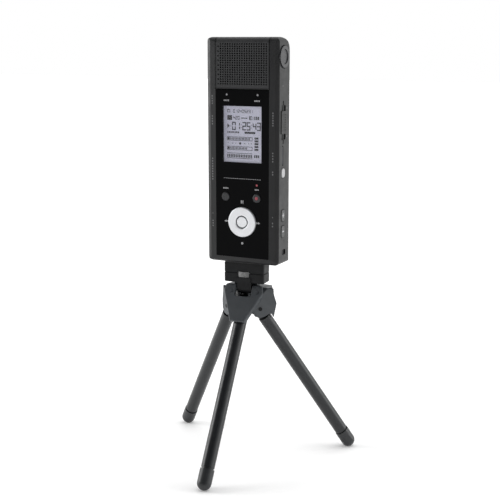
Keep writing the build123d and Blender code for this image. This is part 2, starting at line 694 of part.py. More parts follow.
with BuildPart() as power_inlet:
    with BuildSketch(side(-BODY_W / 2 + 0.1)):
        with Locations((JACK_Y, DC_Z)):
            Circle(3.05)
    extrude(amount=WALL - 0.1)
    with BuildSketch(side(-BODY_W / 2 + WALL)):
        with Locations((JACK_Y, DC_Z)):
            RectangleRounded(7.4, 7.4, 0.4)
    extrude(amount=9.5)
    with BuildSketch(side(-BODY_W / 2 - 1)):
        with Locations((JACK_Y, DC_Z)):
            Circle(2.4)
    extrude(amount=9.0, mode=Mode.SUBTRACT)
    with BuildSketch(side(-BODY_W / 2 + 2.0)):
        with Locations((JACK_Y, DC_Z)):
            Circle(0.7)
    extrude(amount=7.0)
save(power_inlet, "power_inlet")

CARD_Y = SIDE_Y - 0.6
with BuildPart() as card_socket:
    with BuildSketch(side(BODY_W / 2 - WALL - 0.2)):
        with Locations((CARD_Y, CARD_Z)):
            RectangleRounded(2.6, 13.0, 0.3)
            Rectangle(1.4, 11.7, mode=Mode.SUBTRACT)
    extrude(amount=-12.6)
    with BuildSketch(side(BODY_W / 2 - WALL - 12.8)):
        with Locations((CARD_Y, CARD_Z)):
            RectangleRounded(2.6, 13.0, 0.3)
    extrude(amount=-0.8)
save(card_socket, "card_socket")

with BuildPart() as memory_card:
    with BuildSketch(side(BODY_W / 2 - 0.1)):
        with Locations((CARD_Y, CARD_Z)):
            RectangleRounded(0.8, 11.0, 0.2)
    extrude(amount=-13.8)
save(memory_card, "memory_card")

with BuildPart() as strap_bar:
    with BuildSketch(Plane(origin=(REC_X + BODY_W / 2 - 0.9, REC_Y + EYELET_Y, REC_Z + EYELET_Z - 1.7))):
        Circle(0.55)
    extrude(amount=3.4)
save(strap_bar, "strap_bar")

with BuildPart() as tripod_bush:
    with BuildSketch(Plane(origin=(0, 0, REC_Z))):
        Circle(BUSH_R - 0.02)
        Circle(BUSH_BORE, mode=Mode.SUBTRACT)
    extrude(amount=BUSH_H)
    with BuildSketch(Plane(origin=(0, 0, REC_Z + BUSH_H))):
        Circle(BUSH_R - 0.02)
    extrude(amount=0.8)
save(tripod_bush, "tripod_bush")

with BuildPart() as rear_screws:
    for x, z in ((-16.5, 18), (-16.5, 92), (16.5, 92)):
        with BuildSketch(face(BODY_D - 0.15)):
            with Locations((x, z)):
                Circle(1.7)
        extrude(amount=-0.75)
save(rear_screws, "rear_screws")

# ---- tripod: platform ---------------------------------------------------------------------
def plate(height, thickness, inset=0.0, corner=1.6):
    """Rounded plate of the platform, from its top height downwards."""
    with BuildPart() as slab:
        with BuildSketch(tripod_level(height)):
            RectangleRounded(PLATE_W - 2 * inset, PLATE_D - 2 * inset, corner - inset)
        extrude(amount=-thickness)
    return slab.part


def axial(radius, z0, z1):
    """Round bar on the tripod's axis between two heights."""
    with BuildPart() as bar:
        with BuildSketch(tripod_level(z0)):
            Circle(radius)
        extrude(amount=z1 - z0)
    return bar.part


def cross_bar(radius, height, half):
    """Round bar along the tripod's cross axis, through its vertical axis."""
    with BuildPart() as bar:
        with BuildSketch(upright(0, 0, -90.0)):
            with Locations((0, height)):
                Circle(radius)
        extrude(amount=half, both=True)
    return bar.part


with BuildPart() as platform_pad:
    add(plate(-0.02, PAD_T - 0.02, 0.3))
    add(axial(BUSH_R - 0.6, -2, 1), mode=Mode.SUBTRACT)
save(platform_pad, "platform_pad")

with BuildPart() as platform_top:
    add(plate(-PAD_T, -PAD_T - TOP_Z))
    fillet(platform_top.faces().sort_by(Axis.Z)[0].edges(), 0.3)
    add(axial(WHEEL_R + GAP, WHEEL_Z0 - GAP, WHEEL_Z1 + GAP), mode=Mode.SUBTRACT)
    add(axial(BUSH_BORE + 0.15, -8, 0), mode=Mode.SUBTRACT)
save(platform_top, "platform_top")

with BuildPart() as platform_base:
    add(plate(TOP_Z, TOP_Z - GROOVE_Z, 0.5))
    add(plate(GROOVE_Z, GROOVE_Z - BASE_Z))
    fillet(platform_base.faces().sort_by(Axis.Z)[0].edges(), 0.8)
    with BuildSketch(upright(0, 0, -90.0)):
        with Locations((0, TILT_Z)):
            Circle(KNUCKLE_R)
        with Locations((0, (BASE_Z + 0.4 + TILT_Z) / 2)):
            Rectangle(2 * KNUCKLE_R, BASE_Z + 0.4 - TILT_Z)
        # tongue that runs up the front of the plate
        with Locations((4.85, (WHEEL_Z0 - 0.4 + BASE_Z - 0.3) / 2)):
            Rectangle(2.1, WHEEL_Z0 - 0.4 - BASE_Z + 0.3)
    extrude(amount=4.75, both=True)
    add(axial(WHEEL_R + GAP, WHEEL_Z0 - GAP, WHEEL_Z1 + GAP), mode=Mode.SUBTRACT)
    add(cross_bar(1.5 + 0.05, TILT_Z, 6), mode=Mode.SUBTRACT)
save(platform_base, "platform_base")

with BuildPart() as platform_screws:
    for x in (-10.2, 10.2):
        with BuildSketch(tripod_level(BASE_Z - 0.3, x)):
            Circle(1.4)
        extrude(amount=0.25)
save(platform_screws, "platform_screws")

with BuildPart() as screw_thumbwheel:
    with BuildSketch(tripod_level(WHEEL_Z0)):
        Circle(WHEEL_R)
        with PolarLocations(WHEEL_R + 0.1, 36):
            Circle(0.36, mode=Mode.SUBTRACT)
        Circle(2.2, mode=Mode.SUBTRACT)
    extrude(amount=WHEEL_Z1 - WHEEL_Z0)
save(screw_thumbwheel, "screw_thumbwheel")

SCREW_TOP = 7.5
with BuildPart() as mount_screw:
    add(axial(2.2, WHEEL_Z0, WHEEL_Z1))
    add(axial(BUSH_BORE - 0.08, WHEEL_Z1, SCREW_TOP))
    chamfer(mount_screw.edges().filter_by(GeomType.CIRCLE).sort_by(Axis.Z)[-1], 0.6)
save(mount_screw, "mount_screw")


# ---- tripod: hub --------------------------------------------------------------------------
COVER_BACK = 4.6                                # from the front leg's centre line to the cover
COVER_T = 1.5


def cover_plane(offset):
    """Plane of the slanted front cover, an offset in front of the front leg's centre line."""
    x, y, _ = LEGS["front"]
    t, a = radians(OPEN), radians(TURN)
    px, py = tripod_point(x, y - offset / cos(t))
    return Plane(origin=(px, py, REC_Z + PIVOT_Z), x_dir=(cos(a), sin(a), 0),
                 z_dir=(cos(t) * sin(a), -cos(t) * cos(a), sin(t)))


def along(height):
    """Distance up the slanted cover for a height."""
    return (height - PIVOT_Z) / cos(radians(OPEN))


def yoke_profile(name):
    """Cheek of a rear leg's yoke; only the right one has a wing that hangs outside the leg."""
    if name == "right":
        outside = ((8.6, ROOF_Z1 - 0.5), (8.8, -20.0), (10.6, -26.0), (8.8, -34.6), (6.9, -31.9))
    else:
        outside = ((4.4, ROOF_Z1 - 0.5), (4.6, -20.0), (5.4, -26.0), (5.1, -31.0))
    with BuildSketch() as cheek:
        with BuildLine():
            Polyline((-4.5, ROOF_Z1 - 0.5), *outside, (3.2, -33.9), (0.0, -34.8), (-3.4, -33.6),
                     (-4.8, PIVOT_Z), (-4.5, ROOF_Z1 - 0.5))
        make_face()
    return cheek.sketch


def cover_rims(width, reach):
    """Stiffening rims behind the cover, along its two lower diagonals."""
    with BuildPart() as rims:
        for hand in (-1, 1):
            with BuildSketch(cover_plane(COVER_BACK)):
                with BuildLine():
                    Polyline((hand * 12.9, along(-19.5)), (hand * 4.7, along(-36.0)),
                             (hand * (4.7 - width), along(-36.0)), (hand * (12.9 - width), along(-19.5)),
                             (hand * 12.9, along(-19.5)))
                make_face()
            extrude(amount=-reach)
    return rims.part


with BuildPart() as hub_core:
    # roof over the three yokes
    with BuildSketch(tripod_level(ROOF_Z0)):
        with BuildLine():
            Polyline((-13.0, -4.6), (13.0, -4.6), (17.2, 0.2), (14.4, 6.4), (8.0, 7.6), (-8.0, 7.6),
                     (-12.2, 6.4), (-13.4, 0.2), (-13.0, -4.6))
        make_face()
    extrude(amount=ROOF_Z1 - ROOF_Z0)
    # centre block behind the front leg
    with BuildSketch(tripod_level(-34.0)):
        with Locations((0, 3.1)):
            Rectangle(6.6, 8.2)
    extrude(amount=ROOF_Z1 + 34.0)
    # two cheeks for each rear leg
    for name in ("right", "left"):
        x, y, bearing = LEGS[name]
        for hand in (-1, 1):
            inner = hand * (TANG_W / 2 + 0.1)
            with BuildSketch(upright(x, y, bearing, inner)):
                add(yoke_profile(name))
            extrude(amount=hand * CHEEK_T)
    # two cheeks for the front leg, close behind the cover
    for hand in (-1, 1):
        inner = hand * (TANG_W / 2 + 0.1)
        with BuildSketch(upright(0, 0, -90.0, inner)):
            with BuildLine():
                Polyline((-1.2, -17.0), (2.0, -17.0), (10.0, PIVOT_Z), (8.9, -33.6), (5.6, -34.8),
                         (2.2, -33.6), (-1.2, -27.0), (-1.2, -17.0))
            make_face()
        extrude(amount=hand * CHEEK_T)
    # cheeks of the platform's tilt hinge
    for hand in (-1, 1):
        with BuildSketch(upright(0, 0, -90.0, hand * (4.75 + GAP))):
            with Locations((0, TILT_Z)):
                Circle(TILT_R)
        extrude(amount=hand * 2.6)
    # room for the knuckle of the platform
    add(cross_bar(KNUCKLE_R + GAP, TILT_Z, 5.05), mode=Mode.SUBTRACT)
    with BuildSketch(tripod_level(ROOF_Z1 + 5)):
        Rectangle(10.1, SLOT_D)
    extrude(amount=-5 - (ROOF_Z1 - TILT_Z) - 1.8, mode=Mode.SUBTRACT)
    # everything stays behind the slanted cover
    with BuildSketch(cover_plane(COVER_BACK)):
        Rectangle(80, 80)
    extrude(amount=40, mode=Mode.SUBTRACT)
    add(cover_rims(1.2, 1.85), mode=Mode.SUBTRACT)
    # pin bores
    add(cross_bar(1.5 - 0.02, TILT_Z, 9), mode=Mode.SUBTRACT)
    for name, (x, y, bearing) in LEGS.items():
        with BuildSketch(upright(x, y, bearing)):
            with Locations((0, PIVOT_Z)):
                Circle(PIN_R)
        extrude(amount=5, both=True, mode=Mode.SUBTRACT)
save(hub_core, "hub_core")

with BuildPart() as front_cover:
    with BuildSketch(cover_plane(COVER_BACK)):
        with BuildLine():
            Polyline((-11.9, along(-15.5)), (11.9, along(-15.5)), (12.9, along(-19.5)), (4.7, along(-36.0)),
                     (-4.7, along(-36.0)), (-12.9, along(-19.5)), (-11.9, along(-15.5)))
        make_face()
        with Locations((0, along(-18.0))):
            RectangleRounded(10.6, 9.6, 1.2, mode=Mode.SUBTRACT)
    extrude(amount=COVER_T)
    add(cover_rims(1.1, 1.8))
    chamfer(front_cover.faces().filter_by(lambda f: f.normal_at().dot(cover_plane(0).z_dir) > 0.99)
            .sort_by(Axis.Y)[0].outer_wire().edges(), 0.35)
save(front_cover, "front_cover")

with BuildPart() as cover_screws:
    with BuildSketch(cover_plane(COVER_BACK + COVER_T)):
        with Locations((-8.6, along(-18.6)), (8.6, along(-18.6))):
            Circle(1.3)
    extrude(amount=0.35)
save(cover_screws, "cover_screws")

with BuildPart() as tilt_pin:
    add(cross_bar(1.5 - 0.03, TILT_Z, 7.9))
save(tilt_pin, "tilt_pin")

with BuildPart() as leg_pins:
    for name, (x, y, bearing) in LEGS.items():
        with BuildSketch(upright(x, y, bearing)):
            with Locations((0, PIVOT_Z)):
                Circle(PIN_R - 0.01)
        extrude(amount=TANG_W / 2 + 0.1 + CHEEK_T + 0.4, both=True)
save(leg_pins, "leg_pins")


# ---- tripod: legs -------------------------------------------------------------------------
def leg_tang(name):
    """Flat tang that turns on the pin and plugs the top of the leg tube."""
    x, y, bearing = LEGS[name]
    with BuildPart() as tang:
        with BuildSketch(upright(x, y, bearing)):
            with BuildLine():
                s, c = sin(radians(OPEN)), cos(radians(OPEN))
                ends = [(along_leg * s + across * c, PIVOT_Z - along_leg * c + across * s)
                        for along_leg, across in ((0, 3.6), (TUBE_START + 0.4, 3.6),
                                                  (TUBE_START + 0.4, -3.6), (0, -3.6))]
                Polyline(*ends, ends[0])
            make_face()
            with Locations((0, PIVOT_Z)):
                Circle(3.6)
                Circle(PIN_R + 0.06, mode=Mode.SUBTRACT)
        extrude(amount=TANG_W / 2, both=True)
        with BuildSketch(leg_plane(name).offset(TUBE_START + 0.4)):
            Circle(TUBE_R - 0.85)
        extrude(amount=9.0)
    return tang


def leg_tube(name):
    """Hollow leg with eased ends, its collar at the top and the seat of the foot."""
    with BuildPart() as tube:
        with BuildSketch(leg_plane(name).offset(TUBE_START + 0.4)):
            Circle(TUBE_R)
            Circle(TUBE_R - 0.8, mode=Mode.SUBTRACT)
        extrude(amount=LEG_L - 10.0 - TUBE_START - 0.4)
    return tube


def leg_foot(name):
    """Rubber foot: a plug in the tube, a neck groove, a cap and a round end with a flat on the table."""
    start = LEG_L - 10.0
    ball = LEG_L - 0.9
    with BuildPart() as foot:
        with BuildSketch(leg_plane(name).offset(start - 6.0)):
            Circle(TUBE_R - 0.85)
        extrude(amount=6.0)
        with BuildSketch(leg_plane(name).offset(start)):
            Circle(TUBE_R - 0.5)
        extrude(amount=0.9)
        with BuildSketch(leg_plane(name).offset(start + 0.9)):
            Circle(FOOT_CAP_R)
        extrude(amount=ball - start - 0.9)
        with Locations(leg_plane(name).offset(ball).location):
            Sphere(FOOT_CAP_R)
        # flat on which the foot rests
        with Locations((0, 0, -2.5)):
            Box(400, 400, 5, mode=Mode.SUBTRACT)
    return foot


for name in LEGS:
    for maker, piece in ((leg_tube, "tube"), (leg_tang, "tang"), (leg_foot, "foot")):
        save(maker(name), f"{name}_leg_{piece}")
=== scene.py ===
"""Portable field recorder on a folding table tripod: materials, printed marks, light and camera."""

import json
import math

import bmesh
import bpy
from mathutils import Matrix, Vector


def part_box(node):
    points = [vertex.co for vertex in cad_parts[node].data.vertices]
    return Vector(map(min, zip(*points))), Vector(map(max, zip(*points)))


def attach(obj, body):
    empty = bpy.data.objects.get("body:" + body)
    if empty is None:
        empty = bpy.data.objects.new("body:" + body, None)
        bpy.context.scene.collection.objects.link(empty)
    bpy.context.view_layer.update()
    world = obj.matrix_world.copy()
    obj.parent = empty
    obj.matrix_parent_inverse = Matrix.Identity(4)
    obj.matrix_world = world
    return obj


MM = 0.001
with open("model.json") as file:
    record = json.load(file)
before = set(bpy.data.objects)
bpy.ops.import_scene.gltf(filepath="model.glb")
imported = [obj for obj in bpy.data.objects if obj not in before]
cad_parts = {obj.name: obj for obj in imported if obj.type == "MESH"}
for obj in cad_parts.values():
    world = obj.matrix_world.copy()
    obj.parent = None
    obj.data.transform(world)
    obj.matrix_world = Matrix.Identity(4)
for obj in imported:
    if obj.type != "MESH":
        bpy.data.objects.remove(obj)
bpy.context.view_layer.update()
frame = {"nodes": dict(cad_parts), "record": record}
nodes = frame["nodes"]

# ---- places read from the frame -----------------------------------------------------------
panel_low, panel_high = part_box("front_panel")
PANEL_X = (panel_low.x + panel_high.x) / 2      # centre line of the recorder
PANEL_Y = panel_low.y                           # face of the glossy panel
BASE_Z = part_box("main_housing")[0].z            # underside of the recorder
SIDE_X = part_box("main_housing")[1].x            # right side of the case


def on_panel(x, z, out=0.0):
    """Point on the panel from millimetres across and above the recorder's base."""
    return Vector((PANEL_X + x * MM, PANEL_Y - out * MM, BASE_Z + z * MM))


# ---- mesh helpers -------------------------------------------------------------------------
def piece(name, bm, body, material, smooth=False):
    """Turns a bmesh into a piece that rides on a body of the frame."""
    bmesh.ops.recalc_face_normals(bm, faces=bm.faces)
    mesh = bpy.data.meshes.new(name)
    bm.to_mesh(mesh)
    bm.free()
    for polygon in mesh.polygons:
        polygon.use_smooth = smooth
    obj = bpy.data.objects.new(name, mesh)
    bpy.context.scene.collection.objects.link(obj)
    obj.data.materials.append(material)
    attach(obj, body)
    return obj


def block(bm, centre, size, turn=None):
    """Adds a small box, optionally turned about its centre."""
    matrix = Matrix.Translation(centre)
    if turn is not None:
        matrix = matrix @ turn
    matrix = matrix @ Matrix.Diagonal((size[0], size[1], size[2], 1.0))
    bmesh.ops.create_cube(bm, size=1.0, matrix=matrix)


def disc(bm, centre, radius, thick, direction, segments=32):
    """Adds a short round pad whose axis points along a direction."""
    turn = Vector((0, 0, 1)).rotation_difference(Vector(direction)).to_matrix().to_4x4()
    bmesh.ops.create_cone(bm, cap_ends=True, segments=segments, radius1=radius, radius2=radius * 0.97,
                          depth=thick, matrix=Matrix.Translation(centre) @ turn)


# ---- material helpers ---------------------------------------------------------------------
class Shader:
    """One material with a Principled surface and a few procedural layers."""

    def __init__(self, name):
        self.material = bpy.data.materials.new(name)
        self.material.use_nodes = True
        self.tree = self.material.node_tree
        self.surface = self.tree.nodes["Principled BSDF"]
        self.place = self.tree.nodes.new("ShaderNodeTexCoord")
        self.height = None

    def noise(self, scale, detail=4.0, stretch=(1, 1, 1), roughness=0.55):
        mapping = self.tree.nodes.new("ShaderNodeMapping")
        mapping.inputs["Scale"].default_value = stretch
        self.tree.links.new(self.place.outputs["Object"], mapping.inputs["Vector"])
        texture = self.tree.nodes.new("ShaderNodeTexNoise")
        texture.inputs["Scale"].default_value = scale
        texture.inputs["Detail"].default_value = detail
        texture.inputs["Roughness"].default_value = roughness
        self.tree.links.new(mapping.outputs["Vector"], texture.inputs["Vector"])
        return texture.outputs["Fac"]

    def ramp(self, value, stops):
        node = self.tree.nodes.new("ShaderNodeValToRGB")
        elements = node.color_ramp.elements
        while len(elements) < len(stops):
            elements.new(0.5)
        for element, (position, colour) in zip(elements, stops):
            element.position = position
            element.color = (*colour, 1.0)
        self.tree.links.new(value, node.inputs["Fac"])
        return node.outputs["Color"]

    def spread(self, value, low, high):
        node = self.tree.nodes.new("ShaderNodeMapRange")
        node.inputs["From Min"].default_value = 0.3
        node.inputs["From Max"].default_value = 0.7
        node.inputs["To Min"].default_value = low
        node.inputs["To Max"].default_value = high
        self.tree.links.new(value, node.inputs["Value"])
        return node.outputs["Result"]

    def colour(self, output):
        self.tree.links.new(output, self.surface.inputs["Base Color"])

    def rough(self, output):
        self.tree.links.new(output, self.surface.inputs["Roughness"])

    def bump(self, value, depth):
        """Adds a layer of relief, depth in metres."""
        node = self.tree.nodes.new("ShaderNodeBump")
        node.inputs["Strength"].default_value = 1.0
        node.inputs["Distance"].default_value = depth
        self.tree.links.new(value, node.inputs["Height"])
        if self.height is not None:
            self.tree.links.new(self.height, node.inputs["Normal"])
        self.height = node.outputs["Normal"]
        self.tree.links.new(self.height, self.surface.inputs["Normal"])

    def set(self, **values):
        for name, value in values.items():
            self.surface.inputs[name.replace("_", " ")].default_value = value


def shade(colour, factor):
    return tuple(min(1.0, c * factor) for c in colour)


def moulded(name, colour, rough=(0.42, 0.58), grain=0.000012, grain_scale=2600.0, specular=0.5):
    """Moulded plastic or rubber with fine texture and slight unevenness of colour."""
    s = Shader(name)
    cloud = s.noise(55.0)
    s.colour(s.ramp(cloud, [(0.30, shade(colour, 0.86)), (0.52, colour), (0.74, shade(colour, 1.18))]))
    s.rough(s.spread(s.noise(180.0), *rough))
    s.bump(s.noise(grain_scale, detail=2.0), grain)
    s.set(Specular_IOR_Level=specular)
    return s.material


def painted(name, colour, rough=(0.30, 0.46), grain=0.000008, specular=0.5, metallic=0.0):
    """Sprayed paint on metal: orange peel, soft mottling, fine dust."""
    s = Shader(name)
    cloud = s.noise(38.0, detail=6.0)
    s.colour(s.ramp(cloud, [(0.28, shade(colour, 0.82)), (0.5, colour), (0.76, shade(colour, 1.22))]))
    s.rough(s.spread(s.noise(320.0, detail=5.0), *rough))
    s.bump(s.noise(900.0, detail=2.0), grain)
    s.bump(s.noise(4200.0, detail=1.0), grain * 0.35)
    s.set(Specular_IOR_Level=specular, Metallic=metallic)
    return s.material


def bare_metal(name, colour, rough=(0.24, 0.42), stretch=(1, 1, 14), scale=420.0):
    """Machined or drawn metal with fine tool lines."""
    s = Shader(name)
    lines = s.noise(scale, detail=5.0, stretch=stretch)
    s.colour(s.ramp(lines, [(0.3, shade(colour, 0.84)), (0.7, shade(colour, 1.08))]))
    s.rough(s.spread(lines, *rough))
    s.bump(lines, 0.000006)
    s.set(Metallic=1.0)
    return s.material


def glossy(name, colour, rough=(0.10, 0.2), specular=0.5, coat=0.0, mottle=0.08):
    """Polished plastic with faint haze."""
    s = Shader(name)
    s.colour(s.ramp(s.noise(70.0), [(0.3, shade(colour, 1 - mottle)), (0.7, shade(colour, 1 + mottle))]))
    s.rough(s.spread(s.noise(240.0, detail=6.0), *rough))
    s.bump(s.noise(1500.0, detail=1.0), 0.000001)
    s.set(Specular_IOR_Level=specular, Coat_Weight=coat, Coat_Roughness=0.05)
    return s.material


def silvered(name, colour):
    """Plastic with satin metallic paint, fine flecks in it."""
    s = Shader(name)
    flakes = s.noise(5200.0, detail=1.0)
    s.colour(s.ramp(flakes, [(0.3, shade(colour, 0.93)), (0.7, shade(colour, 1.05))]))
    s.rough(s.spread(s.noise(300.0), 0.30, 0.42))
    s.bump(s.noise(2500.0, detail=1.0), 0.000003)
    s.set(Metallic=0.55)
    return s.material


def clear_lens():
    s = Shader("lens_clear")
    s.colour(s.ramp(s.noise(60.0), [(0.3, (0.90, 0.92, 0.95)), (0.7, (0.96, 0.97, 1.0))]))
    s.rough(s.spread(s.noise(200.0), 0.02, 0.06))
    s.set(Alpha=0.03, Specular_IOR_Level=0.08)
    return s.material


def cell_jacket():
    """Printed sleeve of a cell: a dark lower part and a copper upper band."""
    s = Shader("cell_jacket")
    split = s.tree.nodes.new("ShaderNodeSeparateXYZ")
    s.tree.links.new(s.place.outputs["Object"], split.inputs["Vector"])
    level = s.tree.nodes.new("ShaderNodeMapRange")
    level.inputs["From Min"].default_value = BASE_Z + 13 * MM
    level.inputs["From Max"].default_value = BASE_Z + 58 * MM
    s.tree.links.new(split.outputs["Z"], level.inputs["Value"])
    s.colour(s.ramp(level.outputs["Result"], [(0.0, (0.02, 0.02, 0.022)), (0.70, (0.03, 0.03, 0.032)),
                                              (0.72, (0.55, 0.27, 0.09)), (1.0, (0.62, 0.33, 0.12))]))
    s.rough(s.spread(s.noise(200.0), 0.22, 0.34))
    s.bump(s.noise(1200.0, detail=1.0), 0.000003)
    return s.material


def circuit_board():
    """Solder mask with the faint relief of copper under it."""
    s = Shader("board_green")
    tracks = s.noise(700.0, detail=2.0, stretch=(1, 1, 3))
    s.colour(s.ramp(tracks, [(0.44, (0.012, 0.075, 0.035)), (0.5, (0.02, 0.13, 0.06))]))
    s.rough(s.spread(s.noise(300.0), 0.28, 0.4))
    s.bump(tracks, 0.00002)
    return s.material


def lit_display():
    """Pale, slightly lavender face of the display, lit from behind."""
    s = Shader("display")
    tint = s.noise(45.0)
    colour = s.ramp(tint, [(0.3, (0.29, 0.29, 0.36)), (0.7, (0.33, 0.33, 0.40))])
    s.colour(colour)
    s.rough(s.spread(s.noise(300.0), 0.5, 0.6))
    s.bump(s.noise(9000.0, detail=0.0), 0.000002)
    s.tree.links.new(colour, s.surface.inputs["Emission Color"])
    s.set(Emission_Strength=0.35)
    return s.material


MATERIALS = {
    "case_black": moulded("case_black", (0.009, 0.0094, 0.0102), rough=(0.38, 0.50), specular=0.34),
    "panel_gloss": glossy("panel_gloss", (0.0012, 0.0013, 0.0016), rough=(0.06, 0.12), specular=0.04),
    "lens_clear": clear_lens(),
    "display": lit_display(),
    "led_red": glossy("led_red", (0.32, 0.03, 0.045), rough=(0.12, 0.2), coat=0.4),
    "led_clear": glossy("led_clear", (0.22, 0.22, 0.23), rough=(0.12, 0.2), coat=0.4),
    "board_green": circuit_board(),
    "component_dark": moulded("component_dark", (0.02, 0.02, 0.02)),
    "cell_jacket": cell_jacket(),
    "contact_nickel": bare_metal("contact_nickel", (0.62, 0.60, 0.55)),
    "grille_black": painted("grille_black", (0.012, 0.0125, 0.014), rough=(0.42, 0.55), grain=0.000005),
    "grille_cloth": moulded("grille_cloth", (0.008, 0.008, 0.009), rough=(0.8, 0.95), grain=0.00004,
                            grain_scale=1800.0),
    "dial_black": moulded("dial_black", (0.030, 0.031, 0.034), rough=(0.28, 0.40), grain=0.000006),
    "steel_bare": bare_metal("steel_bare", (0.56, 0.56, 0.55)),
    "mount_rubber": moulded("mount_rubber", (0.016, 0.016, 0.016), rough=(0.6, 0.75)),
    "capsule_metal": bare_metal("capsule_metal", (0.66, 0.67, 0.68)),
    "key_silver": silvered("key_silver", (0.74, 0.75, 0.77)),
    "key_dark": glossy("key_dark", (0.020, 0.021, 0.023), rough=(0.22, 0.32), specular=0.4),
    "key_light": moulded("key_light", (0.42, 0.42, 0.43), rough=(0.4, 0.5)),
    "side_key_black": moulded("side_key_black", (0.035, 0.036, 0.038), rough=(0.36, 0.5)),
    "slider_black": moulded("slider_black", (0.010, 0.010, 0.011), rough=(0.45, 0.6)),
    "socket_black": moulded("socket_black", (0.012, 0.012, 0.013), rough=(0.35, 0.5)),
    "socket_steel": bare_metal("socket_steel", (0.58, 0.58, 0.58)),
    "card_blue": moulded("card_blue", (0.012, 0.014, 0.022), rough=(0.35, 0.5)),
    "bush_brass": bare_metal("bush_brass", (0.72, 0.53, 0.25), stretch=(1, 1, 1)),
    "tripod_black": painted("tripod_black", (0.005, 0.0054, 0.0062), rough=(0.42, 0.55), specular=0.2),
    "hub_grey": painted("hub_grey", (0.052, 0.058, 0.064), rough=(0.34, 0.5), specular=0.5),
    "wheel_grey": bare_metal("wheel_grey", (0.20, 0.20, 0.20), rough=(0.35, 0.5), stretch=(1, 1, 1)),
    "leg_grey": painted("leg_grey", (0.010, 0.0115, 0.0135), rough=(0.28, 0.42), grain=0.00001),
    "foot_rubber": moulded("foot_rubber", (0.022, 0.024, 0.026), rough=(0.30, 0.45), grain=0.00002,
                           grain_scale=1400.0),
    "print_white": moulded("print_white", (0.36, 0.36, 0.37), rough=(0.5, 0.6)),
    "print_grey": moulded("print_grey", (0.13, 0.13, 0.135), rough=(0.5, 0.6)),
    "display_ink": moulded("display_ink", (0.006, 0.006, 0.012), rough=(0.5, 0.6)),
    "dot_red": glossy("dot_red", (0.30, 0.035, 0.055), rough=(0.25, 0.35)),
}

# node whose look differs from that of its slot
SPECIAL = {"power_slider": "slider_black"}


def paint_nodes():
    """Gives every CAD node the material of its slot."""
    for entry in frame["record"]["subparts"]:
        name = entry["node"]
        material = MATERIALS[SPECIAL.get(name, entry["material_slot"])]
        slots = nodes[name].data.materials
        slots.clear()
        slots.append(material)


# ---- display ------------------------------------------------------------------------------
display_low, display_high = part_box("display_lens")
GLASS_X, GLASS_TOP = (display_low.x + display_high.x) / 2, display_high.z
GLASS_W, GLASS_H = display_high.x - display_low.x, display_high.z - display_low.z
INK_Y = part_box("display_module")[0].y - 0.03 * MM
INK_THICK = 0.05 * MM

# strokes of a seven-stroke digit: middle of the stroke in digit widths and heights, and whether it lies flat
STROKES = {"top": (0.5, 1.0, True), "mid": (0.5, 0.5, True), "low": (0.5, 0.0, True),
           "upper_left": (0.0, 0.75, False), "upper_right": (1.0, 0.75, False),
           "lower_left": (0.0, 0.25, False), "lower_right": (1.0, 0.25, False)}
ZERO = ("top", "low", "upper_left", "upper_right", "lower_left", "lower_right")
ONE = ("upper_right", "lower_right")
TWO = ("top", "mid", "low", "upper_right", "lower_left")
THREE = ("top", "mid", "low", "upper_right", "lower_right")
FOUR = ("mid", "upper_left", "upper_right", "lower_right")
FIVE = ("top", "mid", "low", "upper_left", "lower_right")


def ink(bm, left, top, right, bottom):
    """Dark rectangle on the display, in fractions of its width and height from the top left."""
    centre = Vector((GLASS_X + ((left + right) / 2 - 0.5) * GLASS_W, INK_Y,
                     GLASS_TOP - (top + bottom) / 2 * GLASS_H))
    block(bm, centre, ((right - left) * GLASS_W, INK_THICK, (bottom - top) * GLASS_H))


def ink_frame(bm, left, top, right, bottom, line=0.013):
    """Outline of a rectangle on the display."""
    tall = line * GLASS_W / GLASS_H
    ink(bm, left, top, right, top + tall)
    ink(bm, left, bottom - tall, right, bottom)
    ink(bm, left, top + tall, left + line, bottom - tall)
    ink(bm, right - line, top + tall, right, bottom - tall)


def digit(bm, strokes, left, top, wide, tall, line):
    """One digit of the counter."""
    flat = line * GLASS_W / GLASS_H
    for name in strokes:
        across, up, lies = STROKES[name]
        x, z = left + across * wide, top + (1 - up) * tall
        if lies:
            ink(bm, x - wide / 2 - line / 2, z - flat / 2, x + wide / 2 + line / 2, z + flat / 2)
        else:
            ink(bm, x - line / 2, z - tall / 4 + flat / 2, x + line / 2, z + tall / 4 - flat / 2)


def dashes(bm, left, top, bottom, widths, gap=0.012):
    """Row of short strokes that stands for small characters."""
    x = left
    for wide in widths:
        ink(bm, x, top, x + wide, bottom)
        x += wide + gap


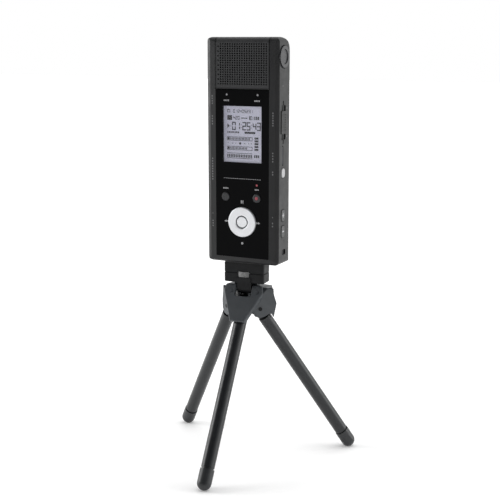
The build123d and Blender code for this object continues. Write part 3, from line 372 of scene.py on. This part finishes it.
def build_display():
    """Status rows, counter, level meters and battery mark, all generic."""
    bm = bmesh.new()
    # status row: folder mark and file number
    ink_frame(bm, 0.09, 0.065, 0.165, 0.115)
    ink(bm, 0.10, 0.055, 0.13, 0.065)
    for index, strokes in enumerate((ZERO, ONE, TWO, FOUR, ZERO, FIVE, TWO, THREE, ONE)):
        digit(bm, strokes, 0.25 + index * 0.058, 0.066, 0.034, 0.050, 0.012)
    # format row
    ink(bm, 0.09, 0.165, 0.215, 0.25)
    for index, strokes in enumerate((FOUR, TWO, ZERO)):
        digit(bm, strokes, 0.25 + index * 0.06, 0.180, 0.036, 0.056, 0.013)
    dashes(bm, 0.45, 0.20, 0.222, (0.02, 0.035, 0.02, 0.05))
    ink_frame(bm, 0.66, 0.175, 0.74, 0.24)
    ink(bm, 0.675, 0.188, 0.70, 0.228)
    dashes(bm, 0.78, 0.178, 0.238, (0.02, 0.012, 0.03, 0.04))
    # running counter
    for step in range(4):
        ink(bm, 0.09 + 0.014 * step, 0.318 + 0.009 * step, 0.104 + 0.014 * step, 0.392 - 0.009 * step)
    ink(bm, 0.17, 0.352, 0.19, 0.364)
    left = 0.215
    for strokes in (ZERO, ONE, None, TWO, FIVE, None, FOUR, THREE):
        if strokes is None:
            ink(bm, left + 0.006, 0.325, left + 0.024, 0.338)
            ink(bm, left + 0.006, 0.372, left + 0.024, 0.385)
            left += 0.045
        else:
            digit(bm, strokes, left + 0.012, 0.290, 0.072, 0.128, 0.026)
            left += 0.112
    # remaining time and transport mark
    dashes(bm, 0.09, 0.45, 0.482, (0.022, 0.03, 0.012, 0.022, 0.03, 0.012, 0.022, 0.03, 0.03))
    ink(bm, 0.54, 0.448, 0.82, 0.487)
    # two level meters with a scale between them
    for top, filled in ((0.545, 14), (0.715, 12)):
        ink_frame(bm, 0.085, top, 0.745, top + 0.07)
        ink(bm, 0.098, top + 0.014, 0.15, top + 0.056)
        for step in range(filled):
            ink(bm, 0.165 + step * 0.038, top + 0.017, 0.188 + step * 0.038, top + 0.053)
    for x, wide in ((0.10, 0.02), (0.21, 0.03), (0.30, 0.02), (0.53, 0.03), (0.64, 0.02), (0.70, 0.03)):
        ink(bm, x, 0.655, x + wide, 0.668)
    middle_dot = Vector((GLASS_X - 0.075 * GLASS_W, INK_Y, GLASS_TOP - 0.662 * GLASS_H))
    disc(bm, middle_dot, 0.75 * MM, INK_THICK, (0, -1, 0), 20)
    # column of marks on the right
    for step in range(5):
        ink(bm, 0.80, 0.545 + step * 0.05, 0.80 + 0.10, 0.582 + step * 0.05)
    # bottom meter
    ink(bm, 0.085, 0.835, 0.745, 0.845)
    for step in range(15):
        ink(bm, 0.085 + step * 0.0445, 0.86, 0.115 + step * 0.0445, 0.915)
    ink(bm, 0.085, 0.925, 0.745, 0.935)
    dashes(bm, 0.79, 0.86, 0.91, (0.03, 0.045, 0.03))
    piece("display_graphics", bm, "recorder", MATERIALS["display_ink"])


# ---- printed marks ------------------------------------------------------------------------
PRINT = 0.03                                    # thickness of a printed mark, mm
DOT_RADIUS = 1.05                               # red dot of the record key, mm
KEY_LABELS = 46.2                               # height of the labels over the menu and record keys, mm
LAMP_LABELS = 99.5                              # height of the labels of the two peak lamps, mm
RULE_HEIGHT = 52.4                              # dashed line between the display and the keys, mm
RULE_DASHES, RULE_PITCH = 17, 1.5
RING_HEIGHT = 25.8                              # centre of the control ring, mm


def mark(bm, x, z, wide, tall):
    """Printed bar on the glossy panel."""
    block(bm, on_panel(x, z, PRINT / 2), (wide * MM, PRINT * MM, tall * MM))


def arrow(bm, x, z, size, hand):
    """Small printed triangle that points left or right."""
    points = [(-hand * size / 2, size / 2), (-hand * size / 2, -size / 2), (hand * size / 2, 0)]
    rings = []
    for out in (0.0, PRINT):
        rings.append([bm.verts.new(on_panel(x + dx, z + dz, out)) for dx, dz in points])
    bm.faces.new(rings[0])
    bm.faces.new(rings[1][::-1])
    for index in range(3):
        after = (index + 1) % 3
        bm.faces.new((rings[0][index], rings[1][index], rings[1][after], rings[0][after]))


def label(bm, x, z, count, tall=0.9, wide=0.62, gap=0.32):
    """Row of short strokes that stands for a label."""
    pitch = wide + gap
    for index in range(count):
        mark(bm, x + (index - (count - 1) / 2) * pitch, z, wide, tall)


def build_panel_marks():
    """Marks round the keys and lamps of the panel, as plain signs."""
    bm = bmesh.new()
    label(bm, -10.6, LAMP_LABELS, 4)
    label(bm, 10.0, LAMP_LABELS, 4)
    label(bm, MENU[0], KEY_LABELS, 4)
    label(bm, RECORD[0], KEY_LABELS, 3)
    for step in range(RULE_DASHES):
        mark(bm, (step - RULE_DASHES // 2) * RULE_PITCH, RULE_HEIGHT, 1.0, 0.28)
    # transport signs round the ring: pause, back, forward, stop
    for x in (-0.55, 0.55):
        mark(bm, x, RING_HEIGHT + 12.4, 0.6, 1.9)
    for x, hand in ((-11.4, -1), (-10.0, -1), (10.0, 1), (11.4, 1)):
        arrow(bm, x, RING_HEIGHT, 1.5, hand)
    disc(bm, on_panel(0.0, RING_HEIGHT - 13.2, PRINT / 2), 0.75 * MM, PRINT * MM, (0, -1, 0), 24)
    piece("panel_marks", bm, "recorder", MATERIALS["print_white"])


BEVEL_INNER, BEVEL_WIDTH, BEVEL_DROP = 18.0, 3.6, 0.4   # sloping edge of the bezel, from the centre line, mm
MARKS_X = 20.3                                  # middle of the marks on that edge, mm


def build_bevel_marks():
    """Short plain lines beside the sockets and keys, on the two sloping edges of the bezel."""
    bm = bmesh.new()
    slope = math.atan2(BEVEL_DROP, BEVEL_WIDTH)
    for hand, rows in ((-1, ((96.7, 102.7), (84.3, 90.6), (50.5, 64.7), (21.4, 26.1))),
                       (1, ((84.5, 93.3), (63.0, 69.6), (55.2, 58.2), (23.6, 27.3)))):
        x = MARKS_X * hand
        depth = (MARKS_X - BEVEL_INNER) * math.tan(slope)
        turn = Matrix.Rotation(hand * slope, 4, "Z")
        for low, high in rows:
            count = max(2, round((high - low) / 1.5))
            for index in range(count):
                z = low + (index + 0.5) * (high - low) / count
                block(bm, on_panel(x, z, -depth), (0.75 * MM, 2 * PRINT * MM, 0.9 * MM), turn)
        disc(bm, on_panel(x, 30.0, -depth), 0.35 * MM, 2 * PRINT * MM, (0, -1, 0), 16)
    piece("bevel_marks", bm, "recorder", MATERIALS["print_grey"])


def build_key_marks():
    """Red dot of the record key, and the plus and minus of the volume keys."""
    bm = bmesh.new()
    low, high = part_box("record_button")
    middle = Vector(((low.x + high.x) / 2, low.y, (low.z + high.z) / 2))
    disc(bm, middle, DOT_RADIUS * MM, 2 * PRINT * MM, (0, -1, 0), 32)
    piece("record_dot", bm, "record_button", MATERIALS["dot_red"])
    for name, upright in (("volume_up_button", True), ("volume_down_button", False)):
        low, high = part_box(name)
        centre = Vector((high.x, (low.y + high.y) / 2, (low.z + high.z) / 2))
        bm = bmesh.new()
        block(bm, centre, (0.06 * MM, 2.6 * MM, 0.8 * MM))
        if upright:
            for side in (-1, 1):
                block(bm, centre + Vector((0, 0, side * 0.9 * MM)), (0.06 * MM, 0.8 * MM, 1.0 * MM))
        piece(name + "_sign", bm, name, MATERIALS["print_white"])


def build_side_marks():
    """Dot beside the tilt dial and marks beside the power slider."""
    bm = bmesh.new()
    dial_dot = Vector((SIDE_X, PANEL_Y + 6.4 * MM, BASE_Z + 108.4 * MM))
    disc(bm, dial_dot, 0.45 * MM, 2 * PRINT * MM, (1, 0, 0), 20)
    for z in (95.2, 78.4):
        centre = Vector((SIDE_X, PANEL_Y + 12.2 * MM, BASE_Z + z * MM))
        block(bm, centre, (2 * PRINT * MM, 0.9 * MM, 0.9 * MM))
    piece("side_marks", bm, "recorder", MATERIALS["print_grey"])


CLOTH_INSET, CLOTH_RISE = 1.7, 1.6              # cloth inside the outline of the grille, mm
CLOTH_DEPTHS = (0.95, 1.15)                     # front and back of the cloth behind the grille's face, mm
CLOTH_WEAVE = 0.03                              # relief of its threads, mm


def build_grille_cloth():
    """Acoustic cloth stretched behind the perforated grille."""
    low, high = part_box("mic_grille")
    left, bottom = low.x + CLOTH_INSET * MM, low.z + CLOTH_RISE * MM
    wide, tall = high.x - low.x - 2 * CLOTH_INSET * MM, high.z - low.z - 5.5 * MM
    columns, rows = 60, 50
    bm = bmesh.new()
    grid = {}
    for layer, depth in enumerate(CLOTH_DEPTHS):
        for i in range(columns + 1):
            for j in range(rows + 1):
                weave = CLOTH_WEAVE * math.sin(i * math.pi / 2) * math.cos(j * math.pi / 2)
                grid[layer, i, j] = bm.verts.new((left + wide * i / columns,
                                                  low.y + (depth + weave) * MM,
                                                  bottom + tall * j / rows))
    for i in range(columns):
        for j in range(rows):
            for layer in (0, 1):
                corners = [grid[layer, i, j], grid[layer, i + 1, j], grid[layer, i + 1, j + 1],
                           grid[layer, i, j + 1]]
                bm.faces.new(corners if layer == 0 else corners[::-1])
    edge = [(i, 0) for i in range(columns)] + [(columns, j) for j in range(rows)]
    edge += [(i, rows) for i in range(columns, 0, -1)] + [(0, j) for j in range(rows, 0, -1)]
    for index, here in enumerate(edge):
        there = edge[(index + 1) % len(edge)]
        bm.faces.new((grid[(0, *here)], grid[(1, *here)], grid[(1, *there)], grid[(0, *there)]))
    piece("grille_cloth", bm, "mic_head", MATERIALS["grille_cloth"], smooth=True)


# ---- studio -------------------------------------------------------------------------------
# name, place in metres, size in metres, power in watts
LIGHTS = (
    ("side_right", (0.85, 0.45, 0.40), (0.5, 0.8), 3.0),
    ("key_left", (-0.95, -0.30, 0.45), (0.35, 0.8), 6.5),
    ("top", (0.0, 0.30, 1.0), (0.8, 0.6), 2.0),
)
CAMERA_YAW, CAMERA_PITCH = math.radians(26.0), math.radians(11.13)
CAMERA_DISTANCE, CAMERA_LENS = 665.89 * MM, 76.81


def area_light(name, place, aim, size, power):
    """Rectangular lamp that points at a place."""
    data = bpy.data.lights.new(name, "AREA")
    data.shape = "RECTANGLE"
    data.size, data.size_y = size
    data.energy = power
    light = bpy.data.objects.new(name, data)
    bpy.context.scene.collection.objects.link(light)
    light.location = place
    light.rotation_euler = (Vector(aim) - Vector(place)).to_track_quat("-Z", "Y").to_euler()


def build_studio():
    """White floor, surround and three soft lights."""
    bm = bmesh.new()
    bmesh.ops.create_grid(bm, x_segments=8, y_segments=8, size=6.0)
    mesh = bpy.data.meshes.new("floor")
    bm.to_mesh(mesh)
    bm.free()
    floor = bpy.data.objects.new("floor", mesh)
    bpy.context.scene.collection.objects.link(floor)
    floor.data.materials.append(FLOOR)
    bpy.context.scene.world = surround()
    middle = (0.0, 0.0, 0.15)
    for name, place, size, power in LIGHTS:
        area_light(name, place, middle, size, power)


def surround():
    """White backdrop that lights the object from behind and the sides and leaves the front dark."""
    world = bpy.data.worlds.new("surround")
    world.use_nodes = True
    tree = world.node_tree
    place = tree.nodes.new("ShaderNodeTexCoord")
    split = tree.nodes.new("ShaderNodeSeparateXYZ")
    tree.links.new(place.outputs["Generated"], split.inputs["Vector"])
    level = tree.nodes.new("ShaderNodeMapRange")
    level.inputs["From Min"].default_value = -1.0
    level.inputs["From Max"].default_value = 1.0
    tree.links.new(split.outputs["Y"], level.inputs["Value"])
    ramp = tree.nodes.new("ShaderNodeValToRGB")
    stops = ((0.0, 0.04), (0.225, 0.05), (0.35, 0.35), (0.55, 1.0))
    while len(ramp.color_ramp.elements) < len(stops):
        ramp.color_ramp.elements.new(0.5)
    for element, (position, value) in zip(ramp.color_ramp.elements, stops):
        element.position = position
        element.color = (value, value, value, 1.0)
    tree.links.new(level.outputs["Result"], ramp.inputs["Fac"])
    path = tree.nodes.new("ShaderNodeLightPath")
    mix = tree.nodes.new("ShaderNodeMix")
    mix.data_type = "RGBA"
    # inputs 6 and 7 and output 2 of the mix are its colours
    tree.links.new(path.outputs["Is Camera Ray"], mix.inputs[0])
    tree.links.new(ramp.outputs["Color"], mix.inputs[6])
    mix.inputs[7].default_value = (1.0, 1.0, 1.0, 1.0)
    tree.links.new(mix.outputs[2], tree.nodes["Background"].inputs["Color"])
    return world


def build_camera():
    """Camera slightly to the right of the front and a little above it."""
    target = on_panel(0.25, 6.56, -10.4)
    level = math.cos(CAMERA_PITCH)
    way = Vector((math.sin(CAMERA_YAW) * level, -math.cos(CAMERA_YAW) * level, math.sin(CAMERA_PITCH)))
    data = bpy.data.cameras.new("camera")
    data.lens = CAMERA_LENS
    data.sensor_width = 36.0
    data.clip_start = 0.01
    camera = bpy.data.objects.new("camera", data)
    bpy.context.scene.collection.objects.link(camera)
    camera.location = target + way * CAMERA_DISTANCE
    camera.rotation_euler = (-way).to_track_quat("-Z", "Y").to_euler()
    bpy.context.scene.camera = camera


def floor_material():
    """White floor that fades into the backdrop: it glows more the further away it is."""
    s = Shader("floor_pale")
    s.colour(s.ramp(s.noise(3.0), [(0.3, (0.93, 0.93, 0.93)), (0.7, (0.95, 0.95, 0.95))]))
    s.rough(s.spread(s.noise(20.0), 0.75, 0.85))
    away = s.tree.nodes.new("ShaderNodeVectorMath")
    away.operation = "LENGTH"
    s.tree.links.new(s.place.outputs["Object"], away.inputs[0])
    glow = s.tree.nodes.new("ShaderNodeMapRange")
    glow.inputs["From Min"].default_value = 0.1
    glow.inputs["From Max"].default_value = 1.2
    glow.inputs["To Min"].default_value = 0.14
    glow.inputs["To Max"].default_value = 0.75
    s.tree.links.new(away.outputs["Value"], glow.inputs["Value"])
    s.tree.links.new(glow.outputs["Result"], s.surface.inputs["Emission Strength"])
    s.set(Specular_IOR_Level=0.1, Emission_Color=(1.0, 1.0, 1.0, 1.0))
    return s.material


def key_centre(name):
    low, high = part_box(name)
    return ((low.x + high.x) / 2 - PANEL_X) / MM, ((low.z + high.z) / 2 - BASE_Z) / MM


MENU, RECORD = key_centre("menu_button"), key_centre("record_button")
FLOOR = floor_material()

paint_nodes()
build_display()
build_panel_marks()
build_bevel_marks()
build_key_marks()
build_side_marks()
build_grille_cloth()
build_studio()
build_camera()
bpy.context.scene.view_settings.view_transform = "Standard"
